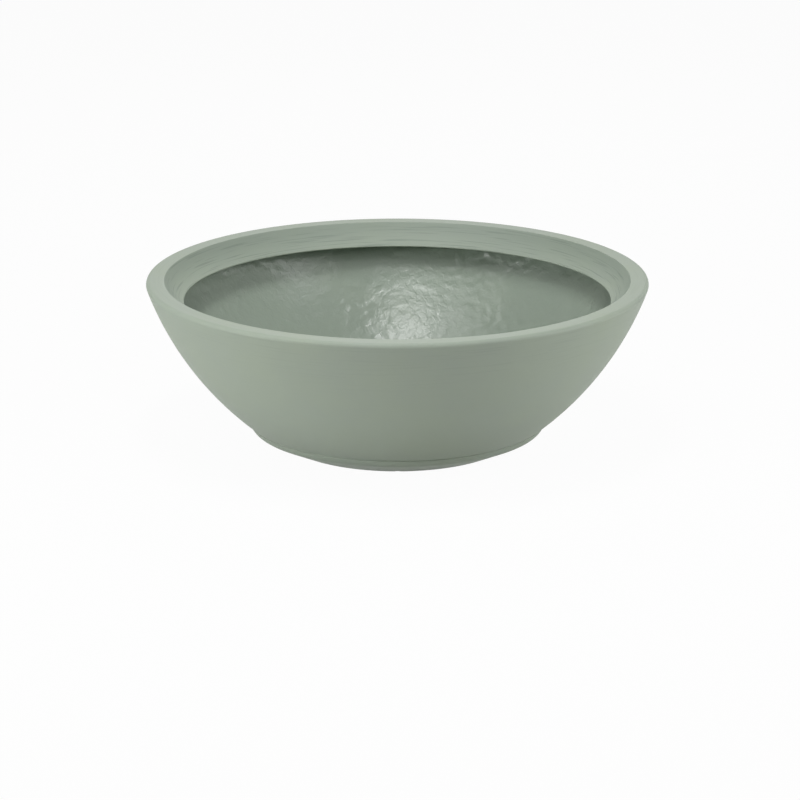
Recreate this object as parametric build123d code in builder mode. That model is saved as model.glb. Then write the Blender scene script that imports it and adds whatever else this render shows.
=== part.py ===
"""Low round planter bowl with push-in drain plugs.

Millimetres, +Z up, origin on the floor under the middle of the bowl.
"""

import os

from build123d import *

os.makedirs("parts", exist_ok=True)

# Outer form of the bowl, as half-section radii and heights
rim_radius = 302.0  # where wall and rim top would meet if the edge were sharp
rim_height = 201.5
wall_bulge = 15.3  # how far the wall swells past a straight line from foot to rim
foot_radius = 178.8  # lower end of the wall
foot_height = 26.4
foot_land = 7.4  # height of the steep band under the foot line
foot_lean = 1.9  # how far that band tapers inward
base_radius = 134.7  # outside of the ring that stands on the floor
shell_wall = 5.0

# Rim, which turns inward and down into a hanging collar
rim_width = 23.3
collar_drop = 26.8
collar_reach = 25.6  # how far the collar leans in from the rim's inner edge
collar_cove = 2.0  # hollow of its curved face

# Underside
recess_radius = 112.0
recess_depth = 7.0
recess_draft = 4.0
weep_radius = 6.0
weep_depth = 2.0

# Edge rounding
rim_edge_round = 4.5
rim_inner_round = 0.8
collar_lip_round = 1.0
shoulder_round = 13.0
base_edge_round = 9.0
recess_edge_round = 3.0
recess_roof_round = 3.0
foot_line_radius = 0.7  # half-round groove between wall and foot

# Drain holes
drain_hole_radius = 11.0
drain_pitch_radius = 80.0
drain_count = 4  # round the one in the middle

# Drain plugs
plug_fit = 0.05  # radial clearance of stem in hole
plug_head_radius = 17.0
plug_head_thickness = 3.0
plug_head_round = 1.2
plug_stem_run = 0.5  # straight stem that shows below the floor of the bowl
plug_tail_radius = 9.0
plug_ground_gap = 2.0
plug_hollow_radius = 6.0
plug_web = 4.0  # rubber left over the hollow stem, up to the head's top
grip_length = 20.0
grip_width = 6.0
grip_height = 6.0
grip_round = 2.0

# Heights and points that follow from these
collar_height = rim_height - collar_drop
collar_inner_radius = rim_radius - rim_width - collar_reach
floor_height = recess_depth + shell_wall
rim_corner = (rim_radius, rim_height)
rim_inner_corner = (rim_radius - rim_width, rim_height)
collar_corner = (collar_inner_radius, collar_height)
foot_corner = (foot_radius, foot_height)
shoulder_corner = (foot_radius - foot_lean, foot_height - foot_land)
base_corner = (base_radius, 0)
recess_corner = (recess_radius, 0)
roof_corner = (recess_radius - recess_draft, recess_depth)


def nearest(vertices, point):
    """The vertex of a section that lies closest to a given radius and height."""
    return vertices.sort_by_distance(point)[0]


def draw_half_outline():
    """Outer face of the moulding from the middle of the base round to the closed mouth."""
    Polyline((0, recess_depth), roof_corner, recess_corner, base_corner, shoulder_corner, foot_corner)
    SagittaArc(foot_corner, rim_corner, -wall_bulge)
    Line(rim_corner, rim_inner_corner)
    SagittaArc(rim_inner_corner, collar_corner, collar_cove)
    Polyline(collar_corner, (0, collar_height), (0, recess_depth))


# The bowl is one hollow moulding of even wall: base, wall, rim and collar in one piece
with BuildPart() as bowl_shell:
    with BuildSketch(Plane.XZ) as section:
        with BuildLine():
            draw_half_outline()
        make_face()
        fillet(nearest(section.vertices(), shoulder_corner), shoulder_round)
        fillet(nearest(section.vertices(), base_corner), base_edge_round)
        fillet(nearest(section.vertices(), recess_corner), recess_edge_round)
        fillet(nearest(section.vertices(), roof_corner), recess_roof_round)
        mirror(about=Plane.YZ)
        offset(amount=-shell_wall, kind=Kind.ARC, mode=Mode.SUBTRACT)
        split(bisect_by=Plane.YZ, keep=Keep.TOP)
        # The disc that closed the mouth is trimmed away level with the collar's lower edge
        with Locations((0, collar_height)):
            Rectangle(
                2 * (collar_inner_radius + 2 * shell_wall),
                2 * shell_wall,
                align=(Align.CENTER, Align.MAX),
                mode=Mode.SUBTRACT,
            )
        with Locations(foot_corner):
            Circle(foot_line_radius, mode=Mode.SUBTRACT)
        fillet(nearest(section.vertices(), rim_corner), rim_edge_round)
        fillet(nearest(section.vertices(), rim_inner_corner), rim_inner_round)
        fillet(nearest(section.vertices(), collar_corner), collar_lip_round)
    revolve(axis=Axis.Z)

    # Shallow grooves that let drained water out from under the standing ring
    for groove_plane in (Plane.YZ, Plane.XZ):
        with BuildSketch(groove_plane):
            with Locations((0, weep_depth - weep_radius)):
                Circle(weep_radius)
        extrude(amount=foot_radius, both=True, mode=Mode.SUBTRACT)

    with Locations((0, 0, floor_height)):
        Hole(drain_hole_radius, depth=2 * shell_wall)
        with PolarLocations(drain_pitch_radius, drain_count):
            Hole(drain_hole_radius, depth=2 * shell_wall)

bowl_shell.part.label = "bowl_shell"
export_step(bowl_shell.part, "parts/bowl_shell.step")


def export_drain_plug(name, place):
    """One rubber plug: head on the bowl's floor, hollow stem through the hole, grip bar on top."""
    seat = Plane(origin=(*place, floor_height))
    upright = Plane(origin=seat.origin, x_dir=(1, 0, 0), z_dir=(0, -1, 0))
    stem_radius = drain_hole_radius - plug_fit
    stem_end = -(shell_wall + plug_stem_run)
    tail_end = plug_ground_gap - floor_height
    hollow_top = plug_head_thickness - plug_web
    with BuildPart() as plug:
        with BuildSketch(upright) as plug_section:
            with BuildLine():
                Polyline(
                    (0, plug_head_thickness),
                    (plug_head_radius, plug_head_thickness),
                    (plug_head_radius, 0),
                    (stem_radius, 0),
                    (stem_radius, stem_end),
                    (plug_tail_radius, tail_end),
                    (plug_hollow_radius, tail_end),
                    (plug_hollow_radius, hollow_top),
                    (0, hollow_top),
                    close=True,
                )
            make_face()
            head_corner = (plug_head_radius, plug_head_thickness)
            fillet(nearest(plug_section.vertices(), head_corner), plug_head_round)
        revolve(axis=Axis(seat.origin, (0, 0, 1)))
        with BuildSketch(seat.offset(plug_head_thickness)):
            SlotOverall(grip_length, grip_width)
        extrude(amount=grip_height)
        fillet(plug.faces().sort_by(Axis.Z)[-1].edges(), grip_round)
    plug.part.label = name
    export_step(plug.part, f"parts/{name}.step")


# One plug in the middle of the floor and one in each hole round it
plug_places = {"drain_plug_centre": (0, 0)}
for side, spot in zip(("right", "back", "left", "front"), PolarLocations(drain_pitch_radius, drain_count)):
    plug_places[f"drain_plug_{side}"] = (spot.position.X, spot.position.Y)
for plug_name, plug_place in plug_places.items():
    export_drain_plug(plug_name, plug_place)
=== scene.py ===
import math

import bmesh
import bpy
import numpy as np
from mathutils import Matrix, Vector


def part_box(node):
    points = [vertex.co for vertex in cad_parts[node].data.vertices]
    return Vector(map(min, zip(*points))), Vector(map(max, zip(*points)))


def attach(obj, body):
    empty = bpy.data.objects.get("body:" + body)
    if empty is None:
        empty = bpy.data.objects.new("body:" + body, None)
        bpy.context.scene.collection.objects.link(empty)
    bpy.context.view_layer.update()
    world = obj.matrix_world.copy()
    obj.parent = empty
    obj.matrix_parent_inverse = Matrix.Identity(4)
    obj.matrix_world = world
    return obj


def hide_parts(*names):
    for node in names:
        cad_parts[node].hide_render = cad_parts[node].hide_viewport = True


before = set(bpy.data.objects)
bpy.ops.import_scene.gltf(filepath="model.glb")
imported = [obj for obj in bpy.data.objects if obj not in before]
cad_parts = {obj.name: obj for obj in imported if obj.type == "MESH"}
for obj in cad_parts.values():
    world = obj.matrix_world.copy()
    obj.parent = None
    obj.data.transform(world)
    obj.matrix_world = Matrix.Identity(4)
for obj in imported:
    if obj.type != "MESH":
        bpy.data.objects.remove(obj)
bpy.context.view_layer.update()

# Bowl shell. One hollow moulding in grey-green linear low-density polyethylene, spun in a heated mould:
# base, foot, wall, flat rim and hanging collar are a single skin of even thickness. Its outside copies
# the mould, its inside is the free face of the melt, and the mouth is trimmed out along the collar's edge.
MM = 0.001
RIM_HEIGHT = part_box("bowl_shell")[1][2] / MM
RIM_RADIUS = 302.0
RIM_INNER_RADIUS = 278.7
COLLAR_RADIUS = 253.1
COLLAR_HEIGHT = RIM_HEIGHT - 26.8
COLLAR_COVE = 2.0
FOOT_RADIUS = 178.8
FOOT_HEIGHT = 26.4
FOOT_LAND = 7.4
FOOT_LEAN = 1.9
FOOT_LINE = 0.7
WALL_BULGE = 15.3
BASE_RADIUS = 134.7
RECESS_RADIUS = 112.0
RECESS_DEPTH = 7.0
RECESS_DRAFT = 4.0
RIM_INSET = 0.03
WALL = 5.0
FLOOR_HEIGHT = RECESS_DEPTH + WALL
HOLE_RADIUS = 11.0
HOLE_PITCH = 80.0
WEEP_RADIUS = 6.0
WEEP_DEPTH = 2.0
LINED_HEIGHT = 140.0
LUMPY_HEIGHT = 90.0
RECESS_ROUND = 3.0
BASE_ROUND = 9.0
SHOULDER_ROUND = 13.0
FOOT_LINE_ROUND = 0.6
RIM_ROUND = 4.5
RIM_INNER_ROUND = 0.8
COLLAR_ROUND = 1.0
TRIM_BEHIND_ROUND = 0.4
CHANNEL_ROUND = 3.0
WALL_END_ROUND = 5.0
FLOOR_STEP_ROUNDS = (2.0, 3.0, 1.5, 8.0)
COLUMNS = 216
BEND_STEP = 0.9
MOULDED, TRIMMED, FREE = 0, 1, 2


def arc_through(start, end, bulge):
    """Centre and radius of the arc that swells by bulge to the right of the chord from start to end.

    With chord c and bulge b the radius is (c*c/4 + b*b) / 2b, and the centre lies radius less bulge to
    the left of the chord's middle. A negative bulge swells to the left and gives a negative radius.
    """
    start, end = np.array(start, float), np.array(end, float)
    chord = np.linalg.norm(end - start)
    ahead = (end - start) / chord
    right = np.array([ahead[1], -ahead[0]])
    radius = (chord**2 / 4 + bulge**2) / (2 * bulge)
    return (start + end) / 2 - right * (radius - bulge), radius


def bulge_of(start, end, radius):
    """How far an arc of a signed radius swells past its chord c: radius less sqrt(radius^2 - c^2/4)."""
    half_chord = math.dist(start, end) / 2
    return math.copysign(abs(radius) - math.sqrt(radius**2 - half_chord**2), radius)


def edge_length(start, end, bulge):
    """Length of an edge: its chord, or on an arc the radius times the angle that the chord spans."""
    chord = math.dist(start, end)
    if bulge == 0:
        return chord
    radius = abs(arc_through(start, end, bulge)[1])
    return 2 * radius * math.asin(chord / 2 / radius)


def walk_edge(start, end, bulge, places):
    """Points and unit tangents at distances along an edge.

    On an arc the spoke turns by distance over radius.
    """
    start, end, places = np.array(start, float), np.array(end, float), np.array(places, float)
    if bulge == 0:
        ahead = (end - start) / np.linalg.norm(end - start)
        return start + places[:, None] * ahead, np.tile(ahead, (len(places), 1))
    centre, radius = arc_through(start, end, bulge)
    side = math.copysign(1, radius)
    angle = math.atan2(*(start - centre)[::-1]) + places / radius
    spoke = np.stack([np.cos(angle), np.sin(angle)], 1)
    return centre + abs(radius) * spoke, side * np.stack([-spoke[:, 1], spoke[:, 0]], 1)


def walk_bend(slope_in, slope_out, start, corner, end, pieces):
    """Points and tangents inside a rounded corner: the conic with middle weight w = cos(turn/2).

    The point is ((1-t)^2 start + 2wt(1-t) corner + t^2 end) over the sum of the weights, which is a true
    circle between straight edges. The tangent is blended from one slope to the other.
    """
    t = np.linspace(0, 1, pieces + 1)[1:-1, None]
    weight = math.cos(math.acos(np.clip(slope_in @ slope_out, -1, 1)) / 2)
    share = np.hstack([(1 - t) ** 2, 2 * weight * t * (1 - t), t**2])
    points = share @ np.vstack([start, corner, end]) / share.sum(1, keepdims=True)
    slope = (1 - t) * slope_in + t * slope_out
    return points, slope / np.linalg.norm(slope, axis=1, keepdims=True)


def walk_outline(corners):
    """Rows of a closed section: their points, their tangents, and the corner that each row follows.

    A corner is (point, rounding, bulge and row spacing of the edge after it, ...). One that turns by t is
    cut back by rounding * tan(t/2) on both of its edges.
    """
    count = len(corners)
    edges = [(corners[i - 1][0], corners[i][0], corners[i - 1][2]) for i in range(count)]
    lengths = [edge_length(*edge) for edge in edges]
    slopes = [walk_edge(*edge, [0, length])[1] for edge, length in zip(edges, lengths)]
    turns = [math.acos(np.clip(slopes[i][1] @ slopes[(i + 1) % count][0], -1, 1)) for i in range(count)]
    cuts = [corner[1] * math.tan(turn / 2) for corner, turn in zip(corners, turns)]
    points, tangents, owners = [], [], []
    for i, (spot, rounding, _, step, *_) in enumerate(corners):
        after = (i + 1) % count
        run = lengths[after] - cuts[i] - cuts[after]
        along, slope = walk_edge(*edges[after], cuts[i] + np.linspace(0, run, max(1, round(run / step)) + 1))
        if rounding:
            start, slope_in = walk_edge(*edges[i], [lengths[i] - cuts[i]])
            pieces = max(3, round(turns[i] * rounding / BEND_STEP))
            bend, bend_slope = walk_bend(slope_in[0], slope[0], start[0], spot, along[0], pieces)
            along, slope = np.vstack([bend, along]), np.vstack([bend_slope, slope])
        if not corners[after][1]:
            along, slope = along[:-1], slope[:-1]
        points.append(along)
        tangents.append(slope)
        owners.append(np.full(len(along), i))
    return np.vstack(points), np.vstack(tangents), np.concatenate(owners)


def inset_corner(before, corner, after):
    """Corner of the free face behind a moulded one: where both edges meet once moved in by the wall."""
    slope_in = (corner - before) / np.linalg.norm(corner - before)
    slope_out = (after - corner) / np.linalg.norm(after - corner)
    left_in, left_out = (np.array([-slope[1], slope[0]]) for slope in (slope_in, slope_out))
    return corner + WALL * (left_in + left_out) / (1 + left_in @ left_out)


def at_height(arc, grow, height):
    """Point where an arc, its radius changed by grow, crosses a height on the side away from the axis."""
    (centre_radius, centre_height), radius = arc
    reach = math.sqrt((abs(radius) + grow) ** 2 - (height - centre_height) ** 2)
    return np.array([centre_radius + reach, height])


def below_centre(arc, grow, radius):
    """Point of an arc, its radius changed by grow, at a distance from the axis and below its centre."""
    (centre_radius, centre_height), arc_radius = arc
    drop = math.sqrt((abs(arc_radius) + grow) ** 2 - (radius - centre_radius) ** 2)
    return np.array([radius, centre_height - drop])


hole_below = np.array([HOLE_RADIUS, RECESS_DEPTH])
hole_above = np.array([HOLE_RADIUS, FLOOR_HEIGHT])
recess_roof = np.array([RECESS_RADIUS - RECESS_DRAFT, RECESS_DEPTH])
recess_edge = np.array([RECESS_RADIUS, 0])
base_edge = np.array([BASE_RADIUS, 0])
shoulder = np.array([FOOT_RADIUS - FOOT_LEAN, FOOT_HEIGHT - FOOT_LAND])
foot = np.array([FOOT_RADIUS, FOOT_HEIGHT])
line_below = walk_edge(foot, shoulder, 0, [FOOT_LINE])[0][0]
line_inside = foot - (FOOT_LINE, 0)
rim_edge = np.array([RIM_RADIUS, RIM_HEIGHT])
rim_inner_edge = np.array([RIM_INNER_RADIUS, RIM_HEIGHT])
collar_edge = np.array([COLLAR_RADIUS, COLLAR_HEIGHT])
wall_arc = arc_through(foot, rim_edge, WALL_BULGE)
collar_arc = arc_through(rim_inner_edge, collar_edge, -COLLAR_COVE)
wall_radius, collar_radius = wall_arc[1], collar_arc[1]
line_above = walk_edge(foot, rim_edge, WALL_BULGE, [FOOT_LINE])[0][0]
lined_wall = at_height(wall_arc, 0, LINED_HEIGHT)
trim_behind = at_height(collar_arc, WALL, COLLAR_HEIGHT)
channel_inner = at_height(collar_arc, WALL, RIM_HEIGHT - WALL)
channel_outer = at_height(wall_arc, -WALL, RIM_HEIGHT - WALL)
lumpy_end = at_height(wall_arc, -WALL, LUMPY_HEIGHT)
wall_end = below_centre(wall_arc, -WALL, FOOT_RADIUS - WALL)
channel_cove = bulge_of(trim_behind, channel_inner, -collar_radius)
upper_bulge = bulge_of(channel_outer, lumpy_end, -wall_radius)
lower_bulge = bulge_of(lumpy_end, wall_end, -wall_radius)

# Point, rounding, bulge of the edge after it, spacing of its rows, columns round the bowl and finish.
# From the rim's inner edge to the wall's end the mesh is twice as fine round the bowl, for the lumps.
corners = [
    (hole_below, 0, 0, 8, COLUMNS, MOULDED),
    (recess_roof, RECESS_ROUND, 0, 2, COLUMNS, MOULDED),
    (recess_edge, RECESS_ROUND, 0, 2.5, COLUMNS, MOULDED),
    (base_edge, BASE_ROUND, 0, 3, COLUMNS, MOULDED),
    (shoulder, SHOULDER_ROUND, 0, 0.5, COLUMNS, MOULDED),
    (line_below, 0, bulge_of(line_below, line_inside, -FOOT_LINE), 0.4, COLUMNS, MOULDED),
    (line_inside, 0, bulge_of(line_inside, line_above, -FOOT_LINE), 0.4, COLUMNS, MOULDED),
    (line_above, FOOT_LINE_ROUND, bulge_of(line_above, lined_wall, wall_radius), 5, COLUMNS, MOULDED),
    (lined_wall, 0, bulge_of(lined_wall, rim_edge, wall_radius), 1, COLUMNS, MOULDED),
    (rim_edge, RIM_ROUND, 0, 1.5, COLUMNS, MOULDED),
    (rim_inner_edge, RIM_INNER_ROUND, -COLLAR_COVE, 0.8, COLUMNS, MOULDED),
    (collar_edge, COLLAR_ROUND, 0, 1, 2 * COLUMNS, TRIMMED),
    (trim_behind, TRIM_BEHIND_ROUND, channel_cove, 4, 2 * COLUMNS, FREE),
    (channel_inner, CHANNEL_ROUND, 0, 4, 2 * COLUMNS, FREE),
    (channel_outer, CHANNEL_ROUND, upper_bulge, 3.2, 2 * COLUMNS, FREE),
    (lumpy_end, 0, lower_bulge, 4, 2 * COLUMNS, FREE),
    (wall_end, WALL_END_ROUND, 0, 2, COLUMNS, FREE),
    (inset_corner(base_edge, shoulder, foot), FLOOR_STEP_ROUNDS[0], 0, 4, COLUMNS, FREE),
    (inset_corner(recess_edge, base_edge, shoulder), FLOOR_STEP_ROUNDS[1], 0, 3, COLUMNS, FREE),
    (inset_corner(recess_roof, recess_edge, base_edge), FLOOR_STEP_ROUNDS[2], 0, 2, COLUMNS, FREE),
    (inset_corner(hole_below, recess_roof, recess_edge), FLOOR_STEP_ROUNDS[3], 0, 8, COLUMNS, FREE),
    (hole_above, 0, 0, WALL, COLUMNS, TRIMMED),
]
section, slope, owner = walk_outline(corners)
outward = np.stack([slope[:, 1], -slope[:, 0]], 1)
along = np.concatenate([[0], np.cumsum(np.linalg.norm(np.diff(section, axis=0), axis=1))])
row_columns = np.array([corner[4] for corner in corners])[owner]
row_finish = np.array([corner[5] for corner in corners])[owner]


def turn_round(rows, columns):
    """Rows of (radius, height) turned round the axis: x = radius cos a, y = radius sin a, z = height."""
    angle = np.arange(columns) * 2 * math.pi / columns
    ring = np.empty((len(rows), columns, 3))
    ring[..., 0] = rows[:, 0, None] * np.cos(angle)
    ring[..., 1] = rows[:, 0, None] * np.sin(angle)
    ring[..., 2] = rows[:, 1, None]
    return ring


def random_waves(places, shortest, longest, count, seed):
    """Cosine waves of random direction, length and phase, added up and scaled to a spread of one."""
    random = np.random.default_rng(seed)
    direction = random.normal(size=(count, places.shape[-1]))
    direction /= np.linalg.norm(direction, axis=1, keepdims=True)
    number = 2 * math.pi / random.uniform(shortest, longest, count)
    phase = random.uniform(0, 2 * math.pi, count)
    total = np.zeros(places.shape[:-1])
    for heading, wave, start in zip(direction, number, phase):
        total += np.cos(places @ (heading * wave) + start)
    return total * math.sqrt(2 / count)


def fade(values, low, high):
    """0 below low, 1 above high and 3t^2 - 2t^3 between."""
    t = np.clip((values - low) / (high - low), 0, 1)
    return t * t * (3 - 2 * t)


RING_DEPTH = 0.06
INNER_RING_DEPTH = 0.16
RING_SPREAD = 22
RING_SLOWNESS = 0.35


def mould_relief(places, distance):
    """Rings left in the mould by turning it: broken waves across the section, cut inward.

    They are up to 0.22 mm deep on the collar and on the outer wall as far out as the rim's inner edge,
    and 0.06 mm further out. The waves run in (distance along the section, a slow share of the way round),
    so that a ring stays level for a hand's width and then fades into its neighbours.
    """
    radius = np.hypot(places[..., 0], places[..., 1])
    way_round = [places[..., 0] / radius * RING_SPREAD, places[..., 1] / radius * RING_SPREAD]
    stroke = np.stack([distance, *way_round], -1)
    rings = random_waves(stroke * (1, RING_SLOWNESS, RING_SLOWNESS), 2.6, 5.0, 24, 11)
    strength = fade(random_waves(places, 60, 150, 12, 12), -0.6, 1.6)
    inner = 1 - fade(radius, RIM_INNER_RADIUS, RIM_INNER_RADIUS + 2)
    return -(RING_DEPTH + INNER_RING_DEPTH * inner) * strength * fade(rings, -0.4, 2.2)


SWELL_DEPTH = 0.16
DENT_DEPTH = 0.1
PATCH_DENT_DEPTH = 0.24
FLOOR_MARGIN = 20


def melt_relief(places):
    """Lumps on the free face of the melt: soft swells of 25 to 60 mm under dimples of 9 to 16 mm.

    The dimples are deeper in patches, and fade away on the floor, whose rows are too far apart for them.
    """
    swells = random_waves(places, 25, 60, 30, 21)
    dimples = random_waves(places, 9, 16, 60, 22)
    patches = fade(random_waves(places, 50, 110, 12, 23), -0.8, 1.2)
    radius = np.hypot(places[..., 0], places[..., 1])
    off_floor = fade(radius, RECESS_RADIUS, RECESS_RADIUS + FLOOR_MARGIN)
    return SWELL_DEPTH * swells + off_floor * (DENT_DEPTH + PATCH_DENT_DEPTH * patches) * dimples


def hole_distance(places):
    """Distance from the nearest drain hole's axis."""
    centres = [(0, 0), (HOLE_PITCH, 0), (0, HOLE_PITCH), (-HOLE_PITCH, 0), (0, -HOLE_PITCH)]
    return np.min([np.hypot(places[..., 0] - x, places[..., 1] - y) for x, y in centres], axis=0)


# Heights, distances and radii, in millimetres, over which the relief fades in. Past the collar's radius a
# point counts as well above the collar's edge.
RINGS_RISE = (60, 150)
RINGS_ABOVE_LIP = (0, 4)
COLLAR_TO_WALL = (265, 280)
PAST_COLLAR = 99
CALM_AT_TRIM = (0, 10)
CALM_AT_HOLE = (19, 34)


def shell_band(rows, columns):
    """Grid of points for a run of rows, moved along the section's outward normal by its finish's relief.

    The rings start at about 134 mm up the outer wall, and on the collar within 4 mm above its edge. The
    lumps fade out towards the trimmed edge and round the holes, so that the plugs' heads lie flat.
    """
    places = turn_round(section[rows], columns)
    normal = turn_round(outward[rows], columns)
    height, radius = section[rows, 1, None], section[rows, 0, None]
    distance = np.broadcast_to(along[rows, None], places.shape[:2])
    moulded = (row_finish[rows] == MOULDED)[:, None]
    free = (row_finish[rows] == FREE)[:, None]
    above_lip = height - COLLAR_HEIGHT + fade(radius, *COLLAR_TO_WALL) * PAST_COLLAR
    lined = moulded * fade(height, *RINGS_RISE) * fade(above_lip, *RINGS_ABOVE_LIP)
    lumpy = free * fade(np.hypot(radius - trim_behind[0], height - trim_behind[1]), *CALM_AT_TRIM)
    lumpy = lumpy * fade(hole_distance(places), *CALM_AT_HOLE)
    relief = lined * (mould_relief(places, distance) - RIM_INSET) + lumpy * melt_relief(places)
    return places + relief[..., None] * normal


def quads_between(lower, upper):
    """Faces between two rings of vertex numbers.

    They are quads, or five-sided where one ring has twice the columns.
    """
    if len(lower) == len(upper):
        return np.stack([lower, np.roll(lower, -1), np.roll(upper, -1), upper], 1)
    if len(lower) < len(upper):
        middle, last = upper[1::2], np.roll(upper[::2], -1)
        return np.stack([lower, np.roll(lower, -1), last, middle, upper[::2]], 1)
    middle, last = lower[1::2], np.roll(lower[::2], -1)
    return np.stack([lower[::2], middle, last, np.roll(upper, -1), upper], 1)


starts = np.concatenate([[0], np.nonzero(np.diff(row_columns))[0] + 1, [len(section)]])
bands = [shell_band(slice(a, b), row_columns[a]) for a, b in zip(starts[:-1], starts[1:])]
places = np.concatenate([band.reshape(-1, 3) for band in bands]) * MM
first = np.concatenate([[0], np.cumsum(row_columns)])
rings = [np.arange(a, b) for a, b in zip(first[:-1], first[1:])]
belts = [quads_between(lower, upper) for lower, upper in zip(rings, rings[1:] + rings[:1])]
shell_mesh = bpy.data.meshes.new("bowl_shell_skin")
shell_mesh.from_pydata(places.tolist(), [], [face for belt in belts for face in belt.tolist()])
finish_of_faces = np.repeat(row_finish, [len(belt) for belt in belts]).astype(np.int32)
shell_mesh.polygons.foreach_set("material_index", finish_of_faces)
distance_layer = shell_mesh.attributes.new("along", "FLOAT", "POINT")
distance_layer.data.foreach_set("value", (np.repeat(along, row_columns) * MM).astype(np.float32))


def add_object(name, mesh):
    """An object at the origin that shows a mesh."""
    piece = bpy.data.objects.new(name, mesh)
    bpy.context.scene.collection.objects.link(piece)
    return piece


bowl = add_object("bowl_shell_skin", shell_mesh)


def linear(colour):
    """Linear channels and alpha of an sRGB hex colour, by the sRGB curve."""
    channels = [int(colour[i : i + 2], 16) / 255 for i in (1, 3, 5)]
    return [*(c / 12.92 if c <= 0.04045 else ((c + 0.055) / 1.055) ** 2.4 for c in channels), 1]


def add_node(tree, kind, inputs, **settings):
    """Adds a node: inputs are its sockets, each given a value or another node or output; settings its own."""
    node = tree.nodes.new(kind)
    for name, value in settings.items():
        setattr(node, name, value)
    for name, value in inputs.items():
        if isinstance(value, bpy.types.Node):
            value = value.outputs[0]
        if isinstance(value, bpy.types.NodeSocket):
            tree.links.new(value, node.inputs[name])
        else:
            node.inputs[name].default_value = value
    return node


def new_material(name):
    """An empty node material and its tree."""
    material = bpy.data.materials.new(name)
    material.use_nodes = True
    material.node_tree.nodes.clear()
    return material, material.node_tree


def per_mm(size):
    """Texture scale whose features are this many millimetres across."""
    return 1 / (size * MM)


def add_noise(tree, place, size, detail, **inputs):
    """Adds noise with features this many millimetres across, and gives its value."""
    settings = {"Vector": place, "Scale": per_mm(size), "Detail": detail, **inputs}
    return add_node(tree, "ShaderNodeTexNoise", settings).outputs["Fac"]


def mix_colours(tree, share, first, second):
    """Mixes from the first colour to the second by a share, and gives the mixed colour."""
    inputs = {0: share, 6: first, 7: second}
    return add_node(tree, "ShaderNodeMix", inputs, data_type="RGBA").outputs[2]


def add_surface(tree, tone, roughness, ior, bump):
    """Adds the plastic or rubber surface that a material shows."""
    inputs = {"Base Color": tone, "Roughness": roughness, "IOR": ior, "Normal": bump}
    surface = add_node(tree, "ShaderNodeBsdfPrincipled", inputs)
    add_node(tree, "ShaderNodeOutputMaterial", {"Surface": surface})


# Rotationally moulded polyethylene, the face that lay against the mould: matte from the blasted steel,
# with the broken rings of the turned mould on the collar and fainter on the upper wall, cut in by bump and
# darkened with painted shade in their grooves, and pigment drifts a hand wide. The collar darkens towards
# its top by a tint of painted shade, which stands in for shade that these lamps don't give.
# The third colour is painted shade, laid into the rings' grooves and over the upper collar.
PE_GREEN, PE_GREY, PE_PAINTED_SHADE = "#98a391", "#929c92", "#6f7b71"
COLLAR_SHADE, COLLAR_SHADE_START = 0.42, 0.15
PE_IOR = 1.51
PE_ROUGHNESS = (0.56, 0.66)
DRIFT_SIZE = 70
GRAIN_SIZE, GRAIN_DEPTH = 1.5, 0.012
STROKE_SIZE, STROKE_LENGTH, STROKE_DEPTH = 1.8, 75, 0.07
STROKE_PAINTED_SHADE = 0.5
STROKE_CUT = (0.54, 0.68)
WALL_STROKES, WALL_STROKES_RISE = 0.2, (120, 185)
moulded_face, tree = new_material("moulded_polyethylene_mould_face")
place = add_node(tree, "ShaderNodeTexCoord", {}).outputs["Object"]
drift = add_noise(tree, place, DRIFT_SIZE, 3.0)
grain = add_noise(tree, place, GRAIN_SIZE, 2.0)
spoke = add_node(tree, "ShaderNodeVectorMath", {0: place, 1: (1, 1, 0)}, operation="MULTIPLY")
spoke = add_node(tree, "ShaderNodeVectorMath", {0: spoke}, operation="NORMALIZE")
line_place = add_node(tree, "ShaderNodeAttribute", {}, attribute_name="along").outputs["Fac"]
line_place = add_node(tree, "ShaderNodeMath", {0: line_place, 1: per_mm(STROKE_SIZE)}, operation="MULTIPLY")
line_place = add_node(tree, "ShaderNodeCombineXYZ", {"Z": line_place})
turns_per_stroke = RIM_INNER_RADIUS / STROKE_LENGTH
line_place = add_node(
    tree,
    "ShaderNodeVectorMath",
    {0: spoke, 1: (turns_per_stroke, turns_per_stroke, 0), 2: line_place},
    operation="MULTIPLY_ADD",
)
stroke = add_node(tree, "ShaderNodeTexNoise", {"Vector": line_place, "Scale": 1.0, "Detail": 1.5})
stroke = add_node(
    tree,
    "ShaderNodeMapRange",
    {"Value": stroke, "From Min": STROKE_CUT[0], "From Max": STROKE_CUT[1]},
    interpolation_type="SMOOTHSTEP",
)
height = add_node(tree, "ShaderNodeSeparateXYZ", {"Vector": place}).outputs["Z"]
flat_place = add_node(tree, "ShaderNodeVectorMath", {0: place, 1: (1, 1, 0)}, operation="MULTIPLY")
radius = add_node(tree, "ShaderNodeVectorMath", {0: flat_place}, operation="LENGTH").outputs["Value"]
inside_rim = add_node(
    tree,
    "ShaderNodeMapRange",
    {"Value": radius, "From Min": (RIM_INNER_RADIUS + 0.6) * MM, "From Max": (RIM_INNER_RADIUS - 0.8) * MM},
)
above_lip = add_node(
    tree,
    "ShaderNodeMapRange",
    {"Value": height, "From Min": (COLLAR_HEIGHT - 3) * MM, "From Max": COLLAR_HEIGHT * MM},
)
on_collar = add_node(tree, "ShaderNodeMath", {0: inside_rim, 1: above_lip}, operation="MULTIPLY")
collar_rise = add_node(
    tree,
    "ShaderNodeMapRange",
    {
        "Value": height,
        "From Min": (COLLAR_HEIGHT + 2) * MM,
        "From Max": (RIM_HEIGHT - 8) * MM,
        "To Min": COLLAR_SHADE_START,
    },
)
collar_painted_shade_mask = add_node(tree, "ShaderNodeMath", {0: on_collar, 1: collar_rise}, operation="MULTIPLY")
strokes_from, strokes_to = (level * MM for level in WALL_STROKES_RISE)
lined = add_node(
    tree,
    "ShaderNodeMapRange",
    {"Value": height, "From Min": strokes_from, "From Max": strokes_to, "To Max": WALL_STROKES},
)
lined = add_node(tree, "ShaderNodeMath", {0: lined, 1: on_collar}, operation="MAXIMUM")
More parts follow.
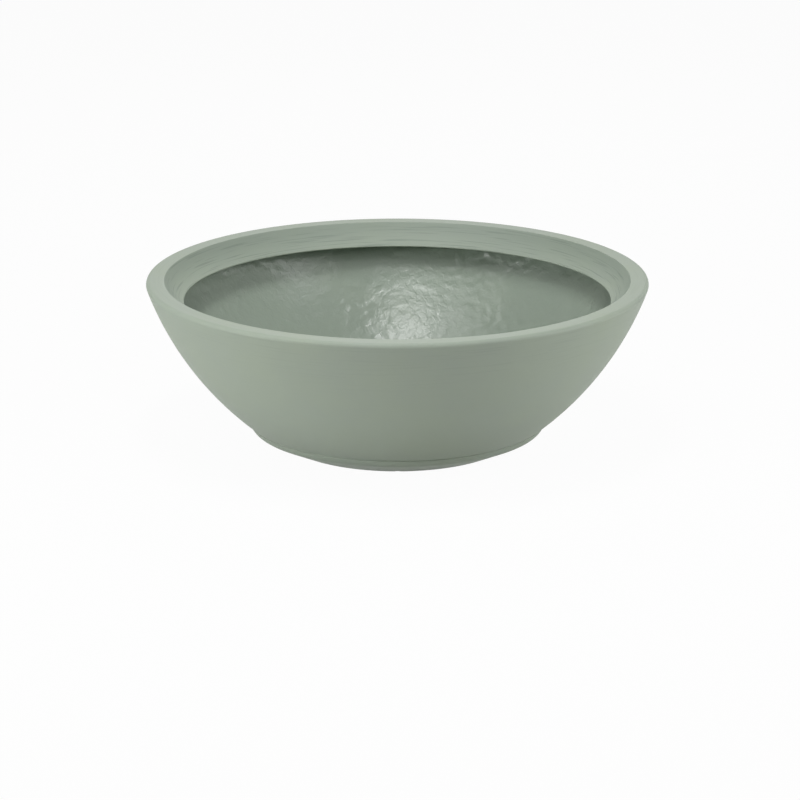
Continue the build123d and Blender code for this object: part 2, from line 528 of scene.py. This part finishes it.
stroke = add_node(tree, "ShaderNodeMath", {0: stroke, 1: lined}, operation="MULTIPLY")
tone = mix_colours(tree, drift, linear(PE_GREY), linear(PE_GREEN))
# Painted shade: the collar's colour darkens towards its top, up to COLLAR_SHADE of the way to the painted
# shade colour.
shade = add_node(tree, "ShaderNodeMath", {0: collar_painted_shade_mask, 1: COLLAR_SHADE}, operation="MULTIPLY")
tone = mix_colours(tree, shade, tone, linear(PE_PAINTED_SHADE))
# Painted shade in the rings' grooves: the colour darkens along each ring.
stroke_painted_shade = add_node(tree, "ShaderNodeMath", {0: stroke, 1: STROKE_PAINTED_SHADE}, operation="MULTIPLY")
tone = mix_colours(tree, stroke_painted_shade, tone, linear(PE_PAINTED_SHADE))
cut = add_node(tree, "ShaderNodeBump", {"Height": stroke, "Distance": STROKE_DEPTH * MM}, invert=True)
bump = add_node(tree, "ShaderNodeBump", {"Height": grain, "Distance": GRAIN_DEPTH * MM, "Normal": cut})
gloss = add_node(
    tree, "ShaderNodeMapRange", {"Value": drift, "To Min": PE_ROUGHNESS[0], "To Max": PE_ROUGHNESS[1]}
)
add_surface(tree, tone, gloss, PE_IOR, bump)

# The same polyethylene on the free face, where the melt settled against air: glossier, with dimples like
# hammered metal and a fine orange peel.
FREE_GREEN, FREE_GREY = "#939f90", "#8d998d"
DIMPLE_SIZE, DIMPLE_DEPTH = 6.0, 0.5
PEEL_SIZE, PEEL_DEPTH = 2.2, 0.02
FREE_ROUGHNESS = (0.26, 0.36)
free_face, tree = new_material("moulded_polyethylene_free_face")
place = add_node(tree, "ShaderNodeTexCoord", {}).outputs["Object"]
drift = add_noise(tree, place, DRIFT_SIZE, 3.0)
dimple = add_noise(tree, place, DIMPLE_SIZE, 1.0, Distortion=0.6)
peel = add_noise(tree, place, PEEL_SIZE, 1.0)
tone = mix_colours(tree, drift, linear(FREE_GREY), linear(FREE_GREEN))
dents = add_node(tree, "ShaderNodeBump", {"Height": dimple, "Distance": DIMPLE_DEPTH * MM})
bump = add_node(tree, "ShaderNodeBump", {"Height": peel, "Distance": PEEL_DEPTH * MM, "Normal": dents})
gloss = add_node(
    tree, "ShaderNodeMapRange", {"Value": drift, "To Min": FREE_ROUGHNESS[0], "To Max": FREE_ROUGHNESS[1]}
)
add_surface(tree, tone, gloss, PE_IOR, bump)

# Polyethylene where a knife or drill went through it: paler, with fine scraped marks.
TRIM_PALE, TRIM_GREEN = "#a6b0a2", "#98a393"
SCRAPE_SIZE, SCRAPE_DEPTH = 1.6, 0.05
TRIM_ROUGHNESS = 0.5
trimmed_face, tree = new_material("trimmed_polyethylene_edge")
place = add_node(tree, "ShaderNodeTexCoord", {}).outputs["Object"]
scrape = add_noise(tree, place, SCRAPE_SIZE, 3.0, Roughness=0.6)
tone = mix_colours(tree, scrape, linear(TRIM_GREEN), linear(TRIM_PALE))
bump = add_node(tree, "ShaderNodeBump", {"Height": scrape, "Distance": SCRAPE_DEPTH * MM})
add_surface(tree, tone, TRIM_ROUGHNESS, PE_IOR, bump)

for material in (moulded_face, trimmed_face, free_face):
    shell_mesh.materials.append(material)


def cut_away(piece, outline, ends, finish):
    """Cuts a straight prism, the outline carried from one offset to the other, out of a piece.

    The cut faces get the given finish.
    """
    count = len(outline)
    near = np.arange(count)
    sides = np.stack([near, np.roll(near, -1), np.roll(near, -1) + count, near + count], 1).tolist()
    points = np.concatenate([outline + end for end in ends]) * MM
    mesh = bpy.data.meshes.new("cutter")
    mesh.from_pydata(points.tolist(), [], sides + [near[::-1].tolist(), (near + count).tolist()])
    mesh.polygons.foreach_set("material_index", np.full(count + 2, finish, np.int32))
    for material in piece.data.materials:
        mesh.materials.append(material)
    cutter = add_object("cutter", mesh)
    cut = piece.modifiers.new("cut", "BOOLEAN")
    cut.operation, cut.solver, cut.object = "DIFFERENCE", "EXACT", cutter
    shaped = bpy.data.meshes.new_from_object(piece.evaluated_get(bpy.context.evaluated_depsgraph_get()))
    piece.modifiers.clear()
    piece.data = shaped
    bpy.data.objects.remove(cutter)


HOLE_SIDES = 64
ring = np.arange(HOLE_SIDES) * 2 * math.pi / HOLE_SIDES
disc = np.stack([np.cos(ring), np.sin(ring), 0 * ring], 1)
for x, y in ((HOLE_PITCH, 0), (0, HOLE_PITCH), (-HOLE_PITCH, 0), (0, -HOLE_PITCH)):
    cut_away(bowl, HOLE_RADIUS * disc, ((x, y, WALL / 2), (x, y, FLOOR_HEIGHT + WALL)), TRIMMED)
weep_drop = (0, 0, WEEP_DEPTH - WEEP_RADIUS)
across = WEEP_RADIUS * disc[:, [2, 0, 1]] + weep_drop
cut_away(bowl, across, ((-FOOT_RADIUS, 0, 0), (FOOT_RADIUS, 0, 0)), MOULDED)
across = WEEP_RADIUS * disc[:, [1, 2, 0]] + weep_drop
cut_away(bowl, across, ((0, -FOOT_RADIUS, 0), (0, FOOT_RADIUS, 0)), MOULDED)
SHARP_TURN = math.radians(38)
bowl.data.shade_smooth()
bowl.data.set_sharp_from_angle(angle=SHARP_TURN)
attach(bowl, "bowl")
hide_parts("bowl_shell")

# Drain plugs. Five moulded plugs in black EPDM rubber, pushed into the drain holes from inside: a thin
# head that seals on the floor, a bar across it to grip, and a hollow ribbed stem through the hole.
HEAD_RADIUS = 17.0
HEAD_THICKNESS = 3.0
HEAD_ROUND = 1.2
HEAD_FALL = 0.35
STEM_RADIUS = HOLE_RADIUS - 0.05
STEM_END = RECESS_DEPTH - 0.5
RIB_DEPTH = 0.45
TAIL_RADIUS = 9.0
TAIL_HEIGHT = 2.0
HOLLOW_RADIUS = 6.0
HOLLOW_TOP = FLOOR_HEIGHT - 1.0
GRIP_SPINE = 7.0
GRIP_RADIUS = 3.0
GRIP_HEIGHT = 6.0
GRIP_ROUND = 2.0
GRIP_ROOT = 1.0
PLUG_COLUMNS = 96


def round_quarter(radius, pieces, first, last):
    """Offsets (outward, upward) round a quarter circle: radius times cos and sin, between two angles."""
    angle = np.radians(np.linspace(first, last, pieces + 1))
    return radius * np.stack([np.cos(angle), np.sin(angle)], 1)


def plug_mesh():
    """A plug as one grid of rings, from the grip bar's ridge over the head and stem into the hollow.

    Each ring blends a stadium, spine point plus distance times direction, with a circle of that radius.
    Rows give distance and height, and share is how much of each row is the circle.
    """
    turn = np.arange(PLUG_COLUMNS) / PLUG_COLUMNS
    circle = np.stack([np.cos(turn * 2 * math.pi), np.sin(turn * 2 * math.pi)], 1)
    corner_run = math.pi * GRIP_RADIUS / 2
    quarter = corner_run + GRIP_SPINE
    run = np.abs((turn * 4 * quarter + quarter * 2) % (4 * quarter) - 2 * quarter)
    run = np.minimum(run, 2 * quarter - run)
    lean = np.minimum(run / GRIP_RADIUS, math.pi / 2)
    side = np.stack([np.where(circle[:, 0] < 0, -1, 1), np.where(turn > 0.5, -1, 1)], 1)
    spine = side * np.stack([GRIP_SPINE - np.maximum(run - corner_run, 0), 0 * run], 1)
    outward = side * np.stack([np.cos(lean), np.sin(lean)], 1)
    head_top = FLOOR_HEIGHT + HEAD_THICKNESS
    grip_top = head_top + GRIP_HEIGHT
    top = round_quarter(GRIP_ROUND, 5, 90, 0) + (GRIP_RADIUS - GRIP_ROUND, grip_top - GRIP_ROUND)
    root = (GRIP_RADIUS + GRIP_ROOT, head_top + GRIP_ROOT) - round_quarter(GRIP_ROOT, 4, 0, 90)
    bar = np.vstack([[(0, grip_top)], top, root])
    share = np.linspace(0, 1, 9)[1:]
    reach = HEAD_RADIUS - HEAD_ROUND
    plate_run = GRIP_RADIUS + GRIP_ROOT + share * (reach - GRIP_RADIUS - GRIP_ROOT)
    plate = np.column_stack([plate_run, head_top - HEAD_FALL * share**2])
    edge = round_quarter(HEAD_ROUND, 5, 90, 0) + (reach, head_top - HEAD_FALL - HEAD_ROUND)
    under = [
        (HEAD_RADIUS, FLOOR_HEIGHT + 0.3),
        (HEAD_RADIUS - 0.3, FLOOR_HEIGHT),
        (STEM_RADIUS + 0.4, FLOOR_HEIGHT),
    ]
    down = np.linspace(0, 1, 21)
    ribs = STEM_RADIUS - RIB_DEPTH * (0.5 - 0.5 * np.cos(4 * math.pi * down))
    stem = np.column_stack([ribs, FLOOR_HEIGHT + (STEM_END - FLOOR_HEIGHT) * down])
    tail = [(TAIL_RADIUS + 0.2, TAIL_HEIGHT + 0.3), (TAIL_RADIUS - 0.1, TAIL_HEIGHT)]
    hollow = [
        (HOLLOW_RADIUS + 0.3, TAIL_HEIGHT),
        (HOLLOW_RADIUS, TAIL_HEIGHT + 0.3),
        (HOLLOW_RADIUS, HOLLOW_TOP - 1.5),
        (HOLLOW_RADIUS - 0.5, HOLLOW_TOP - 0.4),
        (HOLLOW_RADIUS - 1.5, HOLLOW_TOP),
    ]
    body = np.vstack([edge[1:], under, stem, tail, hollow])
    rows = np.vstack([bar, plate, body])
    share = np.concatenate([np.zeros(len(bar)), share, np.ones(len(body))])[:, None, None]
    distance = rows[:, 0, None, None]
    flat = (1 - share) * (spine + distance * outward) + share * distance * circle
    height = np.broadcast_to(rows[:, 1, None, None], (*flat.shape[:2], 1))
    points = np.concatenate([flat, height], 2).reshape(-1, 3) * MM
    number = np.arange(len(points)).reshape(len(rows), PLUG_COLUMNS)
    belts = [quads_between(lower, upper) for upper, lower in zip(number[:-1], number[1:])]
    mesh = bpy.data.meshes.new("plug")
    mesh.from_pydata(points.tolist(), [], np.concatenate(belts).tolist() + [number[-1].tolist()])
    welded = bmesh.new()
    welded.from_mesh(mesh)
    bmesh.ops.remove_doubles(welded, verts=welded.verts, dist=0.01 * MM)
    welded.to_mesh(mesh)
    welded.free()
    return mesh


# EPDM rubber, moulded: near black, dry and dull, with a grey bloom and the fine grain of a spark-eroded
# mould.
RUBBER_BLACK, RUBBER_BLOOM = "#1d1f1e", "#2c2f2d"
BLOOM_SIZE = 14
RUBBER_GRAIN_SIZE, RUBBER_GRAIN_DEPTH = 0.8, 0.03
RUBBER_ROUGHNESS = (0.55, 0.8)
RUBBER_IOR = 1.52
rubber, tree = new_material("moulded_epdm_rubber")
place = add_node(tree, "ShaderNodeTexCoord", {}).outputs["Object"]
bloom = add_noise(tree, place, BLOOM_SIZE, 4.0)
grain = add_noise(tree, place, RUBBER_GRAIN_SIZE, 2.0)
tone = mix_colours(tree, bloom, linear(RUBBER_BLACK), linear(RUBBER_BLOOM))
bump = add_node(tree, "ShaderNodeBump", {"Height": grain, "Distance": RUBBER_GRAIN_DEPTH * MM})
gloss = add_node(
    tree, "ShaderNodeMapRange", {"Value": bloom, "To Min": RUBBER_ROUGHNESS[0], "To Max": RUBBER_ROUGHNESS[1]}
)
add_surface(tree, tone, gloss, RUBBER_IOR, bump)

PLUG_PLACES = {
    "centre": (0, 0),
    "right": (HOLE_PITCH, 0),
    "back": (0, HOLE_PITCH),
    "left": (-HOLE_PITCH, 0),
    "front": (0, -HOLE_PITCH),
}
for side, (x, y) in PLUG_PLACES.items():
    mesh = plug_mesh()
    mesh.transform(Matrix.Translation((x * MM, y * MM, 0)))
    mesh.materials.append(rubber)
    mesh.shade_smooth()
    mesh.set_sharp_from_angle(angle=SHARP_TURN)
    plug = add_object(f"{side}_plug_rubber", mesh)
    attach(plug, f"{side}_plug")
    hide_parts(f"drain_plug_{side}")

# Floor. A wide sheet of white card, lit and shaded by the lamps, and seen as near white by the camera and
# in reflections, with the bowl's soft shadow left on it.
FLOOR_SPAN = 20.0
CARD = "#e6e6e4"
CARD_GLOW = 0.965
CARD_SHADE = "#2a2a2a"
half = FLOOR_SPAN / 2


def seen_or_reflected(tree):
    """1 for rays from the camera and for those that a glossy or clear surface sends on, 0 for others."""
    ray = add_node(tree, "ShaderNodeLightPath", {}).outputs
    seen = {0: ray["Is Camera Ray"], 1: ray["Is Glossy Ray"]}
    seen = add_node(tree, "ShaderNodeMath", seen, operation="MAXIMUM")
    return add_node(tree, "ShaderNodeMath", {0: seen, 1: ray["Is Transmission Ray"]}, operation="MAXIMUM")


floor_mesh = bpy.data.meshes.new("white_card_floor")
floor_corners = [(-half, -half, 0), (half, -half, 0), (half, half, 0), (-half, half, 0)]
floor_mesh.from_pydata(floor_corners, [], [(0, 1, 2, 3)])
card, tree = new_material("white_card")
seen = seen_or_reflected(tree)
card_colour = mix_colours(tree, seen, linear(CARD), linear(CARD_SHADE))
fibre = add_node(tree, "ShaderNodeBsdfDiffuse", {"Color": card_colour})
glow = add_node(tree, "ShaderNodeMath", {0: seen, 1: CARD_GLOW}, operation="MULTIPLY")
glow = add_node(tree, "ShaderNodeEmission", {"Strength": glow})
sheet = add_node(tree, "ShaderNodeAddShader", {0: fibre, 1: glow})
add_node(tree, "ShaderNodeOutputMaterial", {"Surface": sheet})
floor_mesh.materials.append(card)
floor = add_object("white_card_floor", floor_mesh)

# Light. Softboxes low on the left of the front and on the right, a narrow one overhead to the front, which
# gives the inside its bright streak, and weaker ones all round. Each has its bearing and elevation in
# degrees, its distance, width and depth in metres, and its power in watts.
AIM = Vector((0, 0, RIM_HEIGHT / 2 * MM))
SOFTBOXES = {
    "left_front_softbox": (-60, 10, 2.2, 0.9, 0.9, 25),
    "right_softbox": (90, 10, 2.2, 0.9, 0.9, 11),
    "right_front_softbox": (60, 10, 2.2, 0.9, 0.9, 6),
    "high_right_softbox": (60, 35, 2.2, 0.9, 0.9, 9),
    "high_left_softbox": (-60, 60, 2.2, 0.9, 0.9, 6.5),
    "high_front_softbox": (0, 60, 2.2, 0.9, 0.9, 5),
    "back_softbox": (180, 35, 2.2, 0.9, 0.9, 9),
    "streak_softbox": (-16, 76, 2.0, 0.3, 0.9, 18),
}


def aim_direction(bearing, elevation):
    """Unit vector towards a place: bearing turns from the front to the right, elevation up from level."""
    bearing, elevation = math.radians(bearing), math.radians(elevation)
    level = math.cos(elevation)
    return Vector((level * math.sin(bearing), -level * math.cos(bearing), math.sin(elevation)))


for name, (bearing, elevation, distance, width, depth, watts) in SOFTBOXES.items():
    light = bpy.data.lights.new(name, "AREA")
    light.shape, light.size, light.size_y, light.energy = "RECTANGLE", width, depth, watts
    softbox = bpy.data.objects.new(name, light)
    direction = aim_direction(bearing, elevation)
    softbox.location = AIM + distance * direction
    softbox.rotation_euler = direction.to_track_quat("Z", "Y").to_euler()
    bpy.context.scene.collection.objects.link(softbox)

# Room round the bowl: dark to the surfaces it lights, seen as white by the camera and in reflections.
ROOM_FILL = 0.0
world = bpy.data.worlds.new("studio_room")
world.use_nodes = True
tree = world.node_tree
tree.nodes.clear()
seen = seen_or_reflected(tree)
strength = add_node(tree, "ShaderNodeMapRange", {"Value": seen, "To Min": ROOM_FILL, "To Max": 1.0})
room = add_node(tree, "ShaderNodeBackground", {"Strength": strength})
add_node(tree, "ShaderNodeOutputWorld", {"Surface": room})
bpy.context.scene.world = world
bpy.context.scene.view_settings.view_transform = "Standard"

# Camera. A long lens 4.5 m away, 15.8 degrees above level, aimed a little below and right of the middle.
VIEW_ELEVATION = 15.79
VIEW_DISTANCE = 4.5
VIEW_HEIGHT = 0.1
AIM_RIGHT, AIM_DOWN = 0.0031, 0.0498
LENS = 168.2
back = aim_direction(0, VIEW_ELEVATION)
right = Vector((1, 0, 0))
middle = Vector((0, 0, VIEW_HEIGHT))
lens = bpy.data.cameras.new("studio_camera")
lens.lens = LENS
camera = bpy.data.objects.new("studio_camera", lens)
camera.location = middle + VIEW_DISTANCE * back
target = middle + AIM_RIGHT * right - AIM_DOWN * back.cross(right)
camera.rotation_euler = (target - camera.location).to_track_quat("-Z", "Y").to_euler()
bpy.context.scene.collection.objects.link(camera)
bpy.context.scene.camera = camera
